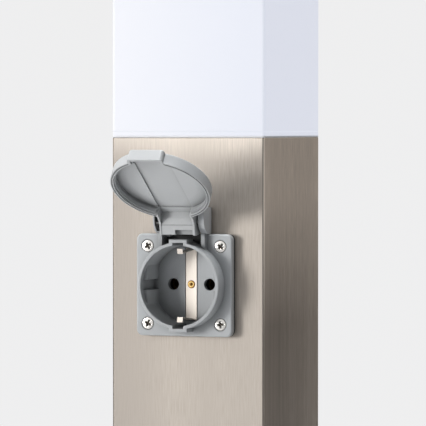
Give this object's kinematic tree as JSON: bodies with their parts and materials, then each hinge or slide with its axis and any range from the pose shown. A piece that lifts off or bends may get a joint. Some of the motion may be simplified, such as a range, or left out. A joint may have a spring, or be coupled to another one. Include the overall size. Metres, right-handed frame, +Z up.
{
  "type": "garden socket post",
  "caption": "Square metal garden post with an opal light box on top and a flap-lid earthed socket in its front face, on a bolt-down base plate.",
  "frame": {"origin": "centre of the base plate's underside, on the ground plane", "axes": "+Z up along the post, -Y out of the front face that carries the socket, +X to the right as seen from the front"},
  "size_m": [0.12, 0.1573, 0.6],
  "materials": {
    "brushed_post": "stainless steel with a fine upright brushed grain, warm grey",
    "base_steel": "satin stainless steel plate",
    "zinc_sheet": "zinc-plated steel sheet",
    "screw_steel": "nickel-plated steel",
    "grey_plastic": "fine-textured mid-grey moulded plastic",
    "lid_plastic": "fine-textured mid-grey moulded plastic",
    "seal_grey": "soft light-grey elastomer",
    "gasket_black": "black closed-cell rubber",
    "earth_nickel": "nickel-plated brass strip, satin",
    "brass": "bright brass",
    "block_plastic": "dark grey thermoset",
    "opal": "opal white acrylic, satin",
    "opal_seal": "white silicone",
    "white_plastic": "white heat-proof plastic",
    "lamp_glass": "opal lamp globe",
    "wire_pvc": "PVC wire insulation",
    "earth_pvc": "green and yellow PVC wire insulation"
  },
  "bodies": {
    "post": {"base_plate": "base_steel", "cable_grommet": "gasket_black", "post_bracket": "zinc_sheet", "base_screws": "screw_steel", "post_tube": "brushed_post", "side_screws": "screw_steel", "socket_gasket": "gasket_black", "socket_front": "grey_plastic", "flange_screws": "screw_steel", "flange_nuts": "screw_steel", "hinge_pin": "screw_steel", "earth_bridge": "earth_nickel", "earth_rivet": "brass", "earth_strap": "brass", "contact_block": "block_plastic", "line_contact": "brass", "neutral_contact": "brass", "terminal_screws": "screw_steel", "rear_cover": "block_plastic", "rear_screws": "screw_steel", "diffuser": "opal", "diffuser_seal": "opal_seal", "diffuser_screws": "screw_steel", "lamp_carrier": "zinc_sheet", "carrier_screws": "screw_steel", "lamp_holder": "white_plastic", "holder_screws": "screw_steel", "holder_shell": "brass", "holder_contact": "brass", "lamp_cap": "screw_steel", "lamp_globe": "lamp_glass", "terminal_block": "white_plastic", "terminal_inserts": "brass", "pole_screws": "screw_steel", "block_screws": "screw_steel", "earth_lug": "screw_steel", "earth_nut": "screw_steel", "earth_stud": "screw_steel", "socket_wires": "wire_pvc", "lamp_wires": "wire_pvc", "earth_wire": "earth_pvc"},
    "lid": {"lid_cover": "lid_plastic", "lid_seal": "seal_grey"}
  },
  "joints": [
    {"name": "lid_hinge", "type": "hinge", "parent": "post", "child": "lid", "pos_m": [0, -0.05044, 0.35843], "axis": [-1, 0, 0], "range_deg": [-125.25, 0]}
  ]
}
